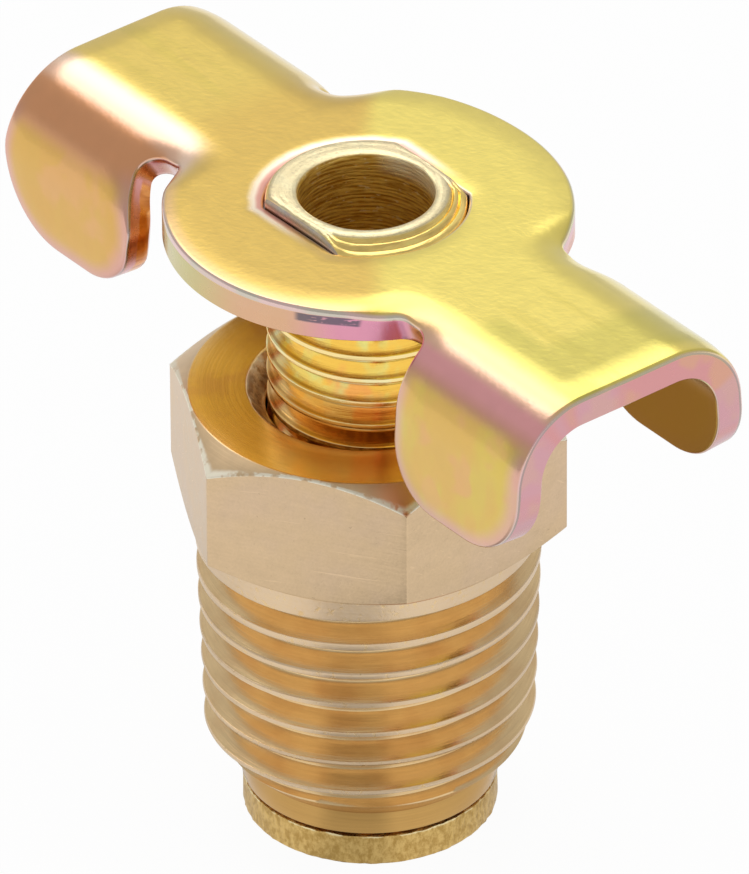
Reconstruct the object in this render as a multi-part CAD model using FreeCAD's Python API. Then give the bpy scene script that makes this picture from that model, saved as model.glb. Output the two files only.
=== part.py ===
"""Radiator drain petcock: a brass body with a taper pipe thread, a hollow screw stem
with the valve disc turned on its foot, a rubber seal ring and a pressed steel wing.

Millimetres, +Z up. The origin is the centre of the valve disc's underside, on the
screw's axis. The wing's two arms lie along X. The valve is drawn closed.
"""
import FreeCAD, Part
import math
import os

# Frame
AXIS = FreeCAD.Vector(0, 0, 1)
ORIGIN = FreeCAD.Vector(0, 0, 0)

# Valve disc and nose, at the foot
disc_radius = 5.05
disc_height = 1.40
closed_gap = 0.13            # between disc and nose when the valve is shut
nose_radius = 5.10
nose_length = 1.00

# Taper pipe thread, quarter inch, 18 threads per inch, right-handed
pipe_pitch = 25.4 / 18
pipe_taper = 1.0 / 32        # radius gained per length, 1 in 16 on the diameter
pipe_large_radius = 6.86     # over the crests, where the thread meets the hexagon
pipe_crest_flat = 0.36
pipe_length = 11.15          # from the nose's shoulder to the hexagon's underside
pipe_lead_angle = 45.0       # chamfer on the thread's first turn
runout_azimuth = -66.0       # where the last groove dies out
runout_sweep = 100.0         # degrees over which it does so
runout_below_hex = 0.12
runout_lap = 5.0             # degrees that the dying groove starts inside the full one
groove_step = 0.02           # and how far inside its walls
groove_beyond = 0.10         # how far a groove's cutter stands out of the metal
cutter_beyond = 1.0          # the same for every other cutter

# Hexagon, nine sixteenths across flats
hex_across_flats = 14.2875
hex_height = 5.75
hex_top_chamfer = 35.0       # degrees from the top face
hex_foot_chamfer = 30.0
hex_top_land = 7.05          # radius of the flat top face
hex_turn = 1.9               # the hexagon's corners against the wing, valve shut

# Stem thread, five sixteenths, 24 threads per inch, left-handed
stem_pitch = 25.4 / 24
stem_radius = 3.95           # over the crests
stem_crest_flat = 0.22
stem_crest_azimuth = -38.5   # a crest passes here at stem_crest_height
stem_crest_height = 22.10
stem_shank_foot = 12.20      # height where the stem swells to its thread's size
stem_thread_sunk = 1.30      # length of thread hidden in the body, valve shut
stem_thread_show = 7.15      # length of stem in sight between hexagon and wing

# Stem's inside and neck
stem_wall = 0.56             # under the thread's root
bore_floor = 13.6            # height where the wide bore ends
drill_wall = 1.10            # round the narrow hole in the neck
drill_floor = 4.10
drill_point = 118.0          # included angle of the drill's point
drain_radius = 1.15
drain_height = 5.40
collar_clearance = 0.80      # between the collar above the seal and the body
collar_height = 0.60
stem_chamfer = 0.35

# Body's inside
thread_play = 0.06           # between the stem's crests and the bore that guides it
chamber_clearance = 0.20     # round the stem further down, so that it goes in from below
guide_foot = 12.9            # height where the guiding bore starts
mouth_clearance = 1.00       # countersink at the top of the bore, beyond the stem
mouth_depth = 0.80

# Seal ring
seal_section = 1.35          # a square-cut ring
seal_play = 0.05             # above, below and inside it
seal_clearance = 0.15        # between it and the body

# Wing handle, pressed from sheet
sheet = 1.40
wing_disc_radius = 7.92
wing_reach = 16.0            # from the axis to an arm's end
wing_flat_half = 2.12        # half the flat width of an arm
wing_bend_radius = 3.47      # outside of the bend
wing_bend_angle = 86.0
ear_depth = 6.75             # below the wing's top face
ear_start = 8.50             # from the axis to an ear's near edge
ear_inner_corner = 0.34      # corner radii, as shares of the ear's length
ear_outer_corner = 0.40
notch_half = 0.80            # half the width of the relief beside the disc
notch_depth_from_axis = 3.85
form_start = 5.50            # where the flat disc starts to bend into the arm
flat_cut = 0.65              # depth of each of the two flats on the stem's end
wing_hole_play = 0.02
stem_stand = 0.40            # stem's end above the wing's top face

# Heights and radii that follow
nose_foot = disc_height + closed_gap
pipe_foot = nose_foot + nose_length
hex_foot = pipe_foot + pipe_length
hex_top = hex_foot + hex_height
wing_foot = hex_top + stem_thread_show
wing_top = wing_foot + sheet
stem_top = wing_top + stem_stand
hex_apothem = hex_across_flats / 2
hex_corner = hex_apothem / math.cos(math.pi / 6)
pipe_small_radius = pipe_large_radius - pipe_taper * pipe_length
pipe_depth = (pipe_pitch - pipe_crest_flat) / 2 / math.tan(math.radians(30))
stem_depth = (stem_pitch - stem_crest_flat) / 2 / math.tan(math.radians(30))
stem_root = stem_radius - stem_depth
bore_radius = stem_root - stem_wall
guide_radius = stem_radius + thread_play
chamber_radius = stem_radius + chamber_clearance
mouth_radius = stem_radius + mouth_clearance
collar_radius = chamber_radius - collar_clearance
neck_radius = chamber_radius - seal_clearance - seal_section - seal_play
drill_radius = neck_radius - drill_wall
flats_half = stem_radius - flat_cut
ear_length = wing_reach - ear_start


def at(x, y, z):
    return FreeCAD.Vector(x, y, z)


def closed_wire(outline):
    """Closed wire through (radius, height) points in the XZ plane."""
    points = [at(r, 0, z) for r, z in outline]
    return Part.makePolygon(points + points[:1])


def turned(outline):
    """Solid of revolution about the Z axis from closed (radius, height) points."""
    return Part.Face(closed_wire(outline)).revolve(ORIGIN, AXIS, 360)


def swept_groove(profile, start_radius, pitch, height, slope, left_handed, climb=0):
    """Solid swept by a (radius, height) profile along a helix from azimuth 0.

    The helix lies on a cone of the given slope. With a climb, the profile moves
    outwards by that much over the sweep, so that the groove dies out.
    """
    angle = math.atan(slope)
    stretch = 1 / math.cos(angle)
    lead = pitch * stretch
    helix = Part.makeLongHelix(lead, height * stretch, start_radius, math.degrees(angle), left_handed)
    shell = Part.BRepOffsetAPI.MakePipeShell(Part.Wire(helix.Edges))
    shell.setFrenetMode(True)
    shell.add(closed_wire(profile))
    if climb:
        last = closed_wire([(r + climb + slope * height, z + height) for r, z in profile])
        last.rotate(ORIGIN, AXIS, 360 * height / pitch)
        shell.add(last)
    shell.build()
    shell.makeSolid()
    return shell.shape()


def groove_profile(root, depth):
    """Sixty degree groove whose floor is at radius root, opening outwards."""
    reach = depth + groove_beyond
    half_mouth = reach * math.tan(math.radians(30))
    return [(root, 0), (root + reach, -half_mouth), (root + reach, half_mouth)]


def pipe_grooves():
    """The outer thread's groove, and a second one that dies out beyond its end."""
    end_height = hex_foot - runout_below_hex
    rise_height = pipe_pitch * runout_sweep / 360
    turns = math.ceil((end_height - pipe_foot) / pipe_pitch) + 1
    length = turns * pipe_pitch
    foot = end_height - rise_height - length
    root = pipe_large_radius - pipe_taper * (hex_foot - foot) - pipe_depth
    profile = groove_profile(root, pipe_depth)
    groove = swept_groove(profile, root, pipe_pitch, length, pipe_taper, False)
    groove.translate(at(0, 0, foot))
    groove.rotate(ORIGIN, AXIS, runout_azimuth - runout_sweep)
    lap = pipe_pitch * runout_lap / 360
    rise_root = root + pipe_taper * (length - lap)
    lifted = groove_profile(rise_root + groove_step, pipe_depth)
    climb = pipe_depth + groove_beyond / 2
    rise = swept_groove(lifted, rise_root, pipe_pitch, rise_height + lap, pipe_taper, False, climb)
    rise.translate(at(0, 0, foot + length - lap))
    rise.rotate(ORIGIN, AXIS, runout_azimuth - runout_sweep - runout_lap)
    return [groove, rise]


def stem_helix_shift(foot):
    """Azimuth where a left-handed crest passes the height foot."""
    turns_below = (stem_crest_height - foot) / stem_pitch
    return stem_crest_azimuth + 360 * turns_below


def stem_groove(foot, top):
    """The stem thread's groove, half a pitch off the crest's line."""
    profile = groove_profile(stem_root, stem_depth)
    groove = swept_groove(profile, stem_root, stem_pitch, top - foot, 0, True)
    groove.rotate(ORIGIN, AXIS, stem_helix_shift(foot - stem_pitch / 2))
    groove.translate(at(0, 0, foot))
    return groove


def chamfer_drop(radius, land, angle):
    return (radius - land) * math.tan(math.radians(angle))


def hexagon():
    """Hexagon prism with its corners turned off above and below."""
    corners = []
    for i in range(6):
        angle = math.radians(hex_turn + 30 + 60 * i)
        corners.append(at(hex_corner * math.cos(angle), hex_corner * math.sin(angle), hex_foot))
    prism = Part.Face(Part.makePolygon(corners + corners[:1])).extrude(at(0, 0, hex_height))
    reach = hex_corner + 1
    foot_land = pipe_large_radius
    envelope = turned([
        (0, hex_foot),
        (foot_land, hex_foot),
        (reach, hex_foot + chamfer_drop(reach, foot_land, hex_foot_chamfer)),
        (reach, hex_top - chamfer_drop(reach, hex_top_land, hex_top_chamfer)),
        (hex_top_land, hex_top),
        (0, hex_top),
    ])
    return prism.common(envelope)


def pipe_blank():
    """Nose, lead chamfer and tapered shank before the thread is cut."""
    lead = pipe_small_radius - nose_radius
    lead_height = lead / math.tan(math.radians(pipe_lead_angle))
    lead_radius = pipe_small_radius + pipe_taper * lead_height
    return turned([
        (0, nose_foot),
        (nose_radius, nose_foot),
        (nose_radius, pipe_foot),
        (lead_radius, pipe_foot + lead_height),
        (pipe_large_radius, hex_foot),
        (0, hex_foot),
    ])


def body_bore():
    """Wide chamber from below, guiding bore above it and a countersunk mouth."""
    low = nose_foot - cutter_beyond
    return turned([
        (0, low),
        (chamber_radius, low),
        (chamber_radius, guide_foot),
        (guide_radius, guide_foot + chamber_radius - guide_radius),
        (guide_radius, hex_top - mouth_depth),
        (mouth_radius, hex_top),
        (mouth_radius, hex_top + cutter_beyond),
        (0, hex_top + cutter_beyond),
    ])


def valve_body():
    blank = pipe_blank().fuse(hexagon())
    for groove in pipe_grooves():
        blank = blank.cut(groove)
    return blank.cut(body_bore()).removeSplitter().Solids[0]


def drilled(radius, floor, top):
    """A drilled hole's void with its pointed floor."""
    point = radius / math.tan(math.radians(drill_point / 2))
    return turned([(0, floor - point), (radius, floor), (radius, top), (0, top)])


def stem():
    ring_room = seal_section + 2 * seal_play
    collar_foot = disc_height + ring_room
    collar_top = collar_foot + collar_height
    start = stem_radius - neck_radius
    blank = turned([
        (0, 0),
        (disc_radius, 0),
        (disc_radius, disc_height),
        (neck_radius, disc_height),
        (neck_radius, collar_foot),
        (collar_radius, collar_foot),
        (collar_radius, collar_top),
        (neck_radius, collar_top),
        (neck_radius, stem_shank_foot - start),
        (stem_radius, stem_shank_foot),
        (stem_radius, stem_top - stem_chamfer),
        (stem_radius - stem_chamfer, stem_top),
        (0, stem_top),
    ])
    solid = blank.cut(stem_groove(hex_top - stem_thread_sunk, wing_foot - stem_pitch / 2))
    for side in (-1, 1):
        flat = Part.makeBox(4 * stem_radius, stem_radius, sheet + stem_stand + cutter_beyond)
        low = flats_half if side > 0 else -flats_half - stem_radius
        flat.translate(at(-2 * stem_radius, low, wing_foot))
        solid = solid.cut(flat)
    solid = solid.cut(drilled(bore_radius, bore_floor, stem_top + cutter_beyond))
    solid = solid.cut(drilled(drill_radius, drill_floor, bore_floor))
    across = 4 * neck_radius
    drain = Part.makeCylinder(drain_radius, across, at(-across / 2, 0, drain_height), at(1, 0, 0))
    return solid.cut(drain).removeSplitter().Solids[0]


def seal_ring():
    inner = neck_radius + seal_play
    outer = inner + seal_section
    foot = disc_height + seal_play
    top = foot + seal_section
    return turned([(inner, foot), (outer, foot), (outer, top), (inner, top)])


def bend_point(along, depth, side):
    """Point of an arm's section: arc length along from the middle, depth into the sheet."""
    swing = math.radians(wing_bend_angle)
    angle = min(max((along - wing_flat_half) / wing_bend_radius, 0), swing)
    straight = max(along - wing_flat_half - wing_bend_radius * swing, 0)
    radius = wing_bend_radius - depth
    y = min(along, wing_flat_half) + radius * math.sin(angle) + straight * math.cos(angle)
    z = -depth - radius * (1 - math.cos(angle)) - straight * math.sin(angle)
    return side * y, wing_top + z


def section_edges(x, bent, reach):
    """Closed section of the sheet at x, flat or bent, out to the arc length reach."""
    def place(along, depth, side):
        y, z = bend_point(along, depth, side) if bent else (side * along, wing_top - depth)
        return at(x, y, z)

    def run(depth, side, inwards):
        first, last = (reach, wing_flat_half) if inwards else (wing_flat_half, reach)
        middle = (reach + wing_flat_half) / 2
        if not bent:
            return Part.LineSegment(place(first, depth, side), place(last, depth, side)).toShape()
        arc = Part.Arc(place(first, depth, side), place(middle, depth, side), place(last, depth, side))
        return arc.toShape()

    def line(a, b):
        return Part.LineSegment(a, b).toShape()

    return Part.Wire([
        line(place(wing_flat_half, 0, -1), place(wing_flat_half, 0, 1)),
        run(0, 1, False),
        line(place(reach, 0, 1), place(reach, sheet, 1)),
        run(sheet, 1, True),
        line(place(wing_flat_half, sheet, 1), place(wing_flat_half, sheet, -1)),
        run(sheet, -1, False),
        line(place(reach, sheet, -1), place(reach, 0, -1)),
        run(0, -1, True),
    ])


def arm():
    """The arm towards +X: bent channel with two ears, trimmed in plan and from the side."""
    bend_reach = wing_flat_half + wing_bend_radius * math.radians(wing_bend_angle)
    along = at(ear_length, 0, 0)
    bent = section_edges(ear_start, True, bend_reach)
    solid = Part.Face(bent).extrude(along)
    for side in (-1, 1):
        corners = [
            bend_point(bend_reach, 0, side),
            bend_point(bend_reach + ear_depth, 0, side),
            bend_point(bend_reach + ear_depth, sheet, side),
            bend_point(bend_reach, sheet, side),
        ]
        points = [at(ear_start, y, z) for y, z in corners]
        ear = Part.Face(Part.makePolygon(points + points[:1])).extrude(along)
        solid = solid.fuse(ear)
    transition = Part.makeLoft([section_edges(form_start, False, bend_reach), bent], True, True)
    return solid.common(ear_outline()), transition


def ear_outline():
    """Prism along Y with the ears' rounded outline seen from the side."""
    low = wing_top - ear_depth
    width = 4 * wing_disc_radius
    block = Part.makeBox(ear_length, width, ear_depth + cutter_beyond, at(ear_start, -width / 2, low))
    near = [e for e in block.Edges if is_foot_edge(e, ear_start, low)]
    block = block.makeFillet(ear_inner_corner * ear_length, near)
    far = [e for e in block.Edges if is_foot_edge(e, wing_reach, low)]
    return block.makeFillet(ear_outer_corner * ear_length, far)


def is_foot_edge(edge, x, z):
    """Whether an edge runs along Y at the given x and z."""
    box = edge.BoundBox
    off = abs(box.XMin - x) + abs(box.XMax - x) + abs(box.ZMin - z) + abs(box.ZMax - z)
    return box.YLength > wing_disc_radius and off < 1e-6


def wing_plan():
    """Prism along Z of the disc and of the necks between the relief notches."""
    low = wing_top - ear_depth
    tall = ear_depth + cutter_beyond
    plan = Part.makeCylinder(wing_disc_radius, tall, at(0, 0, low))
    corner = at(-ear_start, -notch_depth_from_axis, low)
    neck = Part.makeBox(2 * ear_start, 2 * notch_depth_from_axis, tall, corner)
    plan = plan.fuse(neck)
    for x in (-1, 1):
        for y in (-1, 1):
            web = Part.makeBox(notch_half, notch_half, tall)
            left = x * ear_start - notch_half / 2 * (1 + x)
            front = y * notch_depth_from_axis - notch_half / 2 * (1 - y)
            web.translate(at(left, front, low))
            centre = at(x * (ear_start - notch_half), y * (notch_depth_from_axis + notch_half), low)
            plan = plan.fuse(web).cut(Part.makeCylinder(notch_half, tall, centre))
    return plan.removeSplitter()


def wing_handle():
    right, right_form = arm()
    corner = at(-form_start, -wing_disc_radius, wing_foot)
    formed = Part.makeBox(2 * form_start, 2 * wing_disc_radius, sheet, corner)
    left_form = right_form.copy()
    left_form.rotate(ORIGIN, AXIS, 180)
    left = right.copy()
    left.rotate(ORIGIN, AXIS, 180)
    middle = formed.fuse([right_form, left_form]).common(wing_plan())
    solid = middle.fuse([right, left]).removeSplitter()
    low = wing_foot - cutter_beyond
    tall = sheet + 2 * cutter_beyond
    across = 2 * (flats_half + wing_hole_play)
    hole = Part.makeCylinder(stem_radius + wing_hole_play, tall, at(0, 0, low))
    slot = Part.makeBox(4 * stem_radius, across, tall, at(-2 * stem_radius, -across / 2, low))
    return solid.cut(hole.common(slot)).Solids[0]


def main():
    os.makedirs("parts", exist_ok=True)
    nodes = {
        "valve_body": valve_body(),
        "stem": stem(),
        "seal_ring": seal_ring(),
        "wing_handle": wing_handle(),
    }
    for name, shape in nodes.items():
        shape.exportStep("parts/" + name + ".step")
        print(name, shape.ShapeType, len(shape.Solids), round(shape.Volume, 3), shape.isValid())


main()
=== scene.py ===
"""Radiator drain petcock, valve shut, standing on its valve disc.

A brass body with a taper pipe thread, a hollow brass screw with the valve disc on its
foot, and a pressed steel wing in yellow chromate. Shapes are drawn in millimetres and
brought to metres as each piece is finished.
"""
import collections
import math
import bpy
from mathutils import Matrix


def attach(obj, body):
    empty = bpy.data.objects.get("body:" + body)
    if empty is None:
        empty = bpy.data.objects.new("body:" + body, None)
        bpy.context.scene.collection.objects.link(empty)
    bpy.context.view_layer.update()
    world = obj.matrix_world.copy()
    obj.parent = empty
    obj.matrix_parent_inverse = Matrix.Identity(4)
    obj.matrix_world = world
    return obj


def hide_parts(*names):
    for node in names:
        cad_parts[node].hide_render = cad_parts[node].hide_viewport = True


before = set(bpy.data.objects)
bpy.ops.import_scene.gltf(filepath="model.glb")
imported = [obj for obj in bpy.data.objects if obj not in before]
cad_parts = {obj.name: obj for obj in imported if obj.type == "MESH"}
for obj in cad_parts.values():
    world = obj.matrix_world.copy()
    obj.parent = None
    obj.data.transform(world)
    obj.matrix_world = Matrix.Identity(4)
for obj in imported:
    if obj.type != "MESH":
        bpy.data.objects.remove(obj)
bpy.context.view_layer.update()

import types

import bmesh
import bpy
from mathutils import Matrix, Vector, noise

bl_info = {
    "name": "Radiator drain petcock",
    "version": (1, 0, 0),
    "blender": (4, 5, 0),
    "location": "3D View > Sidebar > Petcock",
    "description": "Builds a brass drain petcock with a pressed steel wing",
    "category": "Add Mesh",
}

MM = 0.001
SLANT = math.tan(math.radians(30))    # half angle of both threads' grooves
CREASE = math.radians(40)             # faces that meet at more than this keep a hard edge


def length(name, description, millimetres):
    """A length the user can change, given in millimetres and kept in metres."""
    return bpy.props.FloatProperty(
        name=name, description=description, default=millimetres * MM, min=0.0, unit="LENGTH", precision=5)


def angle(name, description, degrees):
    """An angle the user can change, given in degrees and kept in radians."""
    return bpy.props.FloatProperty(
        name=name, description=description, default=math.radians(degrees), subtype="ANGLE")


def colour(name, description, chamfer_painted_shade, green, blue):
    """A linear colour the user can change."""
    return bpy.props.FloatVectorProperty(
        name=name, description=description, default=(chamfer_painted_shade, green, blue), size=3, min=0.0, max=1.0,
        subtype="COLOR")


def share(name, description, value):
    """A number from 0 to 1 the user can change."""
    return bpy.props.FloatProperty(
        name=name, description=description, default=value, min=0.0, max=1.0, subtype="FACTOR")


class PetcockBodySizes(bpy.types.PropertyGroup):
    """Sizes of the brass body."""
    nose_foot: length("Nose foot", "Height of the nose's lower face", 1.53)
    nose_radius: length("Nose radius", "Radius of the nose below the thread", 5.10)
    pipe_foot: length("Thread foot", "Height where the pipe thread starts", 2.53)
    pipe_pitch: length("Pipe pitch", "Height of one turn of the pipe thread", 25.4 / 18)
    pipe_radius: length("Pipe radius", "Over the crests at the hexagon", 6.86)
    crest_flat: length("Crest flat", "Width of the pipe thread's crest at the hexagon", 0.34)
    crest_foot: length("Crest at the foot", "Width of the pipe thread's crest at the foot", 0.15)
    groove_depth: length("Groove depth", "Depth of the pipe thread below its crest", 0.84)
    runout_height: length("Run-out height", "Height of the groove's middle where it ends", 13.56)
    runout_azimuth: angle("Run-out azimuth", "Where the last groove ends", -66.0)
    runout_sweep: angle("Run-out sweep", "Angle over which the last groove dies out", 100.0)
    hex_foot: length("Hexagon foot", "Height of the hexagon's underside", 13.68)
    hex_top: length("Hexagon top", "Height of the hexagon's top face", 19.43)
    hex_flats: length("Across flats", "Width over two flats of the hexagon", 14.2875)
    hex_land: length("Top land", "Radius of the flat part of the top face", 7.05)
    hex_turn: angle("Hexagon turn", "Turn of the hexagon's corners against the wing", 1.9)
    top_chamfer: angle("Top chamfer", "Slope of the hexagon's upper chamfer", 35.0)
    foot_chamfer: angle("Foot chamfer", "Slope of the hexagon's lower chamfer", 30.0)
    edge_round: length("Edge round", "Rounding of the hexagon's edges", 0.05)
    mouth_radius: length("Mouth radius", "Radius of the countersink in the top face", 4.75)
    mouth_depth: length("Mouth depth", "Depth of the countersink", 0.80)
    guide_radius: length("Guide radius", "Bore that guides the stem", 4.01)
    guide_foot: length("Guide foot", "Height where the guiding bore starts", 12.90)
    chamber_radius: length("Chamber radius", "Wider bore below the guide", 4.15)


class PetcockStemSizes(bpy.types.PropertyGroup):
    """Sizes of the brass screw."""
    disc_radius: length("Disc radius", "Radius of the valve disc", 5.05)
    disc_height: length("Disc height", "Thickness of the valve disc", 1.40)
    neck_radius: length("Neck radius", "Neck between disc and shank", 2.60)
    collar_foot: length("Collar foot", "Height of the collar above the seal", 2.85)
    collar_radius: length("Collar radius", "Radius of the collar", 3.35)
    collar_height: length("Collar height", "Thickness of the collar", 0.60)
    drain_radius: length("Drain radius", "Radius of the cross hole in the neck", 1.15)
    drain_height: length("Drain height", "Height of the cross hole", 5.40)
    shank_foot: length("Shank foot", "Height where the shank starts", 12.20)
    stem_radius: length("Stem radius", "Over the crests of the stem's thread", 3.95)
    stem_pitch: length("Stem pitch", "Height of one turn of the stem's thread", 25.4 / 24)
    crest_flat: length("Crest flat", "Width of the stem thread's crest", 0.20)
    groove_depth: length("Groove depth", "Depth of the stem thread below its crest", 0.67)
    crest_height: length("Crest height", "A crest passes here at the crest azimuth", 22.10)
    crest_azimuth: angle("Crest azimuth", "Azimuth that the crest height belongs to", -38.5)
    thread_foot: length("Thread foot", "Height where the modelled thread starts", 17.6)
    thread_top: length("Thread top", "Height where the thread has run out", 26.35)
    wing_foot: length("Wing foot", "Height of the wing's underside", 26.58)
    stem_top: length("Stem top", "Height of the stem's upper end", 28.38)
    flats_half: length("Half flats", "From the axis to each flat on the stem's end", 3.30)
    bore_radius: length("Bore radius", "Radius of the wide bore", 2.66)
    bore_floor: length("Bore floor", "Height where the wide bore ends", 13.6)
    drill_radius: length("Drill radius", "Radius of the narrow hole", 1.50)
    drill_floor: length("Drill floor", "Height of the narrow hole's floor", 4.10)


class PetcockWingSizes(bpy.types.PropertyGroup):
    """Sizes of the pressed steel wing."""
    sheet: length("Sheet", "Thickness of the steel sheet", 1.40)
    wing_top: length("Wing top", "Height of the wing's top face", 27.98)
    disc_radius: length("Disc radius", "Radius of the wing's middle", 7.95)
    bend_angle: angle("Bend angle", "Angle through which the sheet is bent", 86.0)
    form_start: length("Form start", "Where the flat middle starts to bend", 5.50)
    form_end: length("Form end", "Where an arm is bent in full", 8.50)
    crown_width: length("Crown width", "Width over which the top slopes to a cut edge", 1.32)
    crown_drop: length("Crown drop", "How far the top slopes down at a cut edge", 0.15)
    rim_round: length("Rim round", "Roll-over along the cut edges, outer side", 0.15)
    hole_drop: length("Hole drop", "How far the top slopes down at the hole", 0.12)
    hole_radius: length("Hole radius", "Radius of the hole on the stem", 4.00)
    hole_half: length("Hole half", "Half the width over the hole's flats", 3.36)


class PetcockFinish(bpy.types.PropertyGroup):
    """Colours of the petcock's metals."""
    turned: colour("Turned brass", "Bright turned brass of the thread", 0.88, 0.635, 0.335)
    # ground is laid on the hexagon's top face, most strongly at the front, as painted light.
    ground: colour("Ground brass", "Golden top face of the hexagon", 1.0, 0.68, 0.28)
    milled: colour("Milled brass", "Satin brass of the hexagon's flats", 0.79, 0.575, 0.35)
    crest: colour("Crest brass", "Worn crests of the pipe thread", 0.78, 0.60, 0.42)
    screw: colour("Screw brass", "Bright yellow brass of the screw", 1.0, 0.78, 0.32)
    screw_top: colour("Screw end", "Pale rough end of the screw", 0.74, 0.64, 0.40)
    chromate: colour("Chromate", "Yellow chromate on the flat of the wing", 0.84, 0.68, 0.15)
    tan: colour("Tan chromate", "Chromate on the long arm and its half of the disc", 0.73, 0.49, 0.098)
    lobe: colour("Lobe chromate", "Chromate on the bent-down ears", 0.76, 0.48, 0.12)
    # pale, peach, rose and umber are painted on the near bends as painted highlight and painted reflection.
    pale: colour("Pale chromate", "Chromate where the sheet starts to bend", 0.84, 0.54, 0.24)
    peach: colour("Peach chromate", "Chromate between the pale band and the rose one", 0.86, 0.53, 0.36)
    rose: colour("Rose chromate", "Chromate where the sheet is bent most", 0.94, 0.43, 0.43)
    umber: colour("Umber chromate", "The same band on the other arm", 0.80, 0.37, 0.17)
    edge: colour("Cut edge", "Pink chromate on the cut edges", 0.70, 0.31, 0.31)
    torn: colour("Torn edge", "Torn part of the cut edges", 0.62, 0.19, 0.03)
    # This colour is painted shade on the ears' inner faces.
    inside: colour("Inside", "Brown olive inner side of the ears", 0.38, 0.22, 0.022)
    rubber: colour("Rubber", "Seal ring", 0.02, 0.02, 0.02)


class PetcockStage(bpy.types.PropertyGroup):
    """Camera, floor and light."""
    view_azimuth: angle("View azimuth", "Camera's azimuth, 0 looks along +Y", 51.54)
    view_elevation: angle("View elevation", "Camera's height above the horizon", 33.506)
    view_roll: angle("View roll", "Camera's turn about its own axis", -0.370)
    view_distance: bpy.props.FloatProperty(
        name="View distance", description="From the camera to the point it looks at", default=0.68615,
        unit="LENGTH")
    view_lens: bpy.props.FloatProperty(
        name="Lens", description="Focal length on a 36 mm sensor", default=721.56, subtype="DISTANCE_CAMERA")
    aim_height: length("Aim height", "Height of the point the camera looks at", 16.9195)
    aim_side: length("Aim offset", "How far to the right of the axis that point lies", 0.2571)
    floor_white: share("Floor white", "Reflectance of the floor", 0.92)


def in_millimetres(group):
    """The group's values as a plain namespace, lengths in millimetres."""
    values = {}
    for name, made in group.__annotations__.items():
        value = getattr(group, name)
        values[name] = value / MM if made.keywords.get("unit") == "LENGTH" else value
    return types.SimpleNamespace(**values)


def at(radius, azimuth, height):
    """The point at a radius, azimuth and height."""
    return Vector((radius * math.cos(azimuth), radius * math.sin(azimuth), height))


def polar(point):
    """Radius, azimuth and height of a point."""
    return math.hypot(point.x, point.y), math.atan2(point.y, point.x), point.z


def grow(bm, edges, radius, height):
    """Extrudes a row of edges to a new radius and height, each a number or made from the azimuth."""
    made = bmesh.ops.extrude_edge_only(bm, edges=edges)["geom"]
    verts = {item for item in made if isinstance(item, bmesh.types.BMVert)}
    for vert in verts:
        azimuth = math.atan2(vert.co.y, vert.co.x)
        new_radius = radius(azimuth) if callable(radius) else radius
        new_height = height(azimuth) if callable(height) else height
        vert.co = at(new_radius, azimuth, new_height)
    return [item for item in made if isinstance(item, bmesh.types.BMEdge) and verts.issuperset(item.verts)]


def uneven(base, amount, frequency, seed):
    """A radius or height that wanders round the axis, for torn and burred edges."""
    def value(azimuth):
        spot = Vector((math.cos(azimuth) * frequency, math.sin(azimuth) * frequency, seed * 3.7))
        return base + amount * noise.noise(spot)
    return value


def drilled(bm, drill):
    """The drawing with a drill taken out of it."""
    pieces = []
    for drawing in (bm, drill):
        mesh = bpy.data.meshes.new("drawing")
        drawing.to_mesh(mesh)
        drawing.free()
        pieces.append(bpy.data.objects.new("drawing", mesh))
        bpy.context.scene.collection.objects.link(pieces[-1])
    cut = pieces[0].modifiers.new("drain", "BOOLEAN")
    cut.operation, cut.solver, cut.object = "DIFFERENCE", "EXACT", pieces[1]
    made = bmesh.new()
    made.from_object(pieces[0], bpy.context.evaluated_depsgraph_get())
    for piece in pieces:
        mesh = piece.data
        bpy.data.objects.remove(piece)
        bpy.data.meshes.remove(mesh)
    return made


def close_row(bm, edges, height):
    """Closes a row of edges with a pole on the axis."""
    made = bmesh.ops.extrude_edge_only(bm, edges=edges)["geom"]
    verts = [item for item in made if isinstance(item, bmesh.types.BMVert)]
    bmesh.ops.pointmerge(bm, verts=verts, merge_co=(0, 0, height))


def boundary_rows(bm):
    """The two open rows of a helical skin, lower one first."""
    edges = [e for e in bm.edges if e.is_boundary]
    middle = sum(e.verts[0].co.z for e in edges) / len(edges)
    return [e for e in edges if e.verts[0].co.z < middle], [e for e in edges if e.verts[0].co.z > middle]


def helical_skin(bm, phases, pitch, foot, top, steps, left_handed, azimuth, height):
    """Band of helical rows round the Z axis, cut off square at foot and top.

    The row of phase 0 passes the given height at the given azimuth. Its radius is 1.
    """
    below = math.ceil((height - foot) / pitch) + 2
    turns = math.ceil((top - foot) / pitch) + 4
    start = [bm.verts.new(at(1, azimuth, height + pitch * (phase - below))) for phase in phases]
    rail = [bm.edges.new(pair) for pair in zip(start, start[1:])]
    bmesh.ops.spin(
        bm, geom=start + rail, cent=(0, 0, 0), axis=(0, 0, 1), dvec=(0, 0, pitch / steps),
        angle=-2 * math.pi if left_handed else 2 * math.pi, steps=steps)
    one_turn = bm.verts[:] + bm.edges[:] + bm.faces[:]
    for turn in range(1, turns):
        copy = bmesh.ops.duplicate(bm, geom=one_turn)["geom"]
        verts = [item for item in copy if isinstance(item, bmesh.types.BMVert)]
        bmesh.ops.translate(bm, verts=verts, vec=(0, 0, turn * pitch))
    bmesh.ops.remove_doubles(bm, verts=bm.verts, dist=pitch * 1e-4)
    for level, upper in ((foot, False), (top, True)):
        bmesh.ops.bisect_plane(
            bm, geom=bm.verts[:] + bm.edges[:] + bm.faces[:], dist=1e-5, plane_co=(0, 0, level),
            plane_no=(0, 0, 1), clear_outer=upper, clear_inner=not upper)
    rim = list({vert for edge in bm.edges if edge.is_boundary for vert in edge.verts})
    bmesh.ops.remove_doubles(bm, verts=rim, dist=1.1 / steps)


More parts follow.
